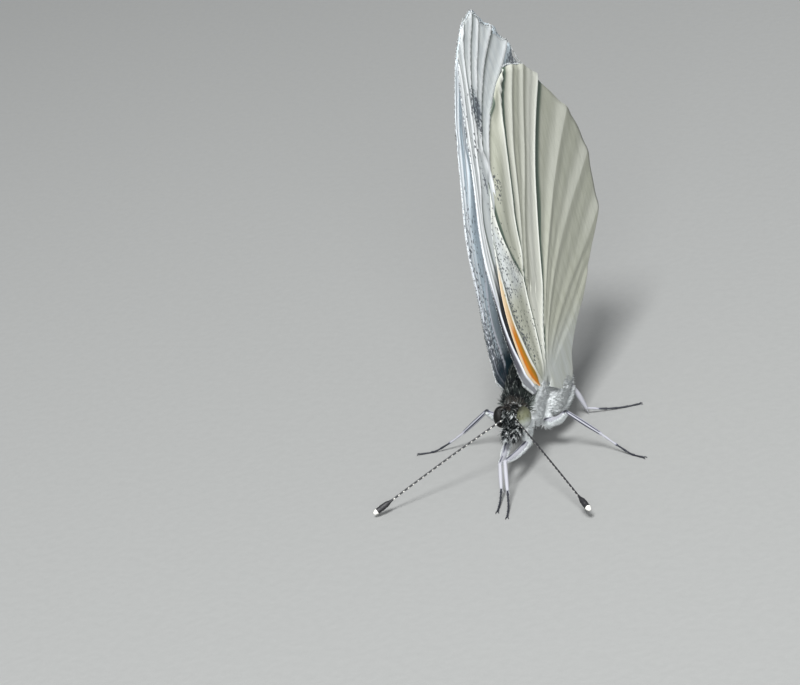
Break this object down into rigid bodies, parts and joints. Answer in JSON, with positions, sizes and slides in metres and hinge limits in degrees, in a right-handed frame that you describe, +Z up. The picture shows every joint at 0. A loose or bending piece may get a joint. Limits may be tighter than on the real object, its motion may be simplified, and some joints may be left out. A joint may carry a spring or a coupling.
{
  "type": "small white butterfly",
  "caption": "Life-size still model of a small white butterfly standing with its wings closed over its back.",
  "frame": {"origin": "on the floor under the middle of the whole animal, feelers and wings included", "axes": "+X to the animal's left, +Y towards its tail, +Z up; the six feet stand on the plane z = 0"},
  "size_m": [0.0164, 0.025, 0.029],
  "materials": {
    "body_fur": "dense soft hair, white below and grey-black with green on the back",
    "abdomen_scales": "soft white scales, grey along the top",
    "wing_underside": "matt scales in pale cream-grey with lighter raised veins",
    "wing_upperside": "matt white scales, dusted blue-black at the root and leading edge",
    "eye": "satin pale grey-green with small dark spots",
    "feeler": "black with white rings",
    "mouthparts": "dark brown",
    "leg_pale": "white scales over a dark shell, with dark lines",
    "leg_dark": "dark grey-brown, thinly scaled"
  },
  "bodies": {
    "root": {"prothorax": "body_fur", "mesothorax": "body_fur", "metathorax": "body_fur", "abdomen_base": "abdomen_scales", "abdomen_middle": "abdomen_scales", "abdomen_rear": "abdomen_scales", "abdomen_tip": "abdomen_scales", "head": "body_fur", "eye_left": "eye", "eye_right": "eye", "proboscis": "mouthparts", "palp_left": "body_fur", "antenna_left": "feeler", "antenna_club_left": "feeler", "palp_right": "body_fur", "antenna_right": "feeler", "antenna_club_right": "feeler", "forewing_left": "wing_upperside", "hindwing_left": "wing_underside", "forewing_right": "wing_upperside", "hindwing_right": "wing_underside", "foreleg_coxa_left": "body_fur", "foreleg_femur_left": "leg_pale", "foreleg_tibia_left": "leg_pale", "foreleg_tarsus_left": "leg_dark", "midleg_coxa_left": "body_fur", "midleg_femur_left": "leg_pale", "midleg_tibia_left": "leg_pale", "midleg_tarsus_left": "leg_dark", "hindleg_coxa_left": "body_fur", "hindleg_femur_left": "leg_pale", "hindleg_tibia_left": "leg_pale", "hindleg_tarsus_left": "leg_dark", "foreleg_coxa_right": "body_fur", "foreleg_femur_right": "leg_pale", "foreleg_tibia_right": "leg_pale", "foreleg_tarsus_right": "leg_dark", "midleg_coxa_right": "body_fur", "midleg_femur_right": "leg_pale", "midleg_tibia_right": "leg_pale", "midleg_tarsus_right": "leg_dark", "hindleg_coxa_right": "body_fur", "hindleg_femur_right": "leg_pale", "hindleg_tibia_right": "leg_pale", "hindleg_tarsus_right": "leg_dark"}
  },
  "joints": []
}
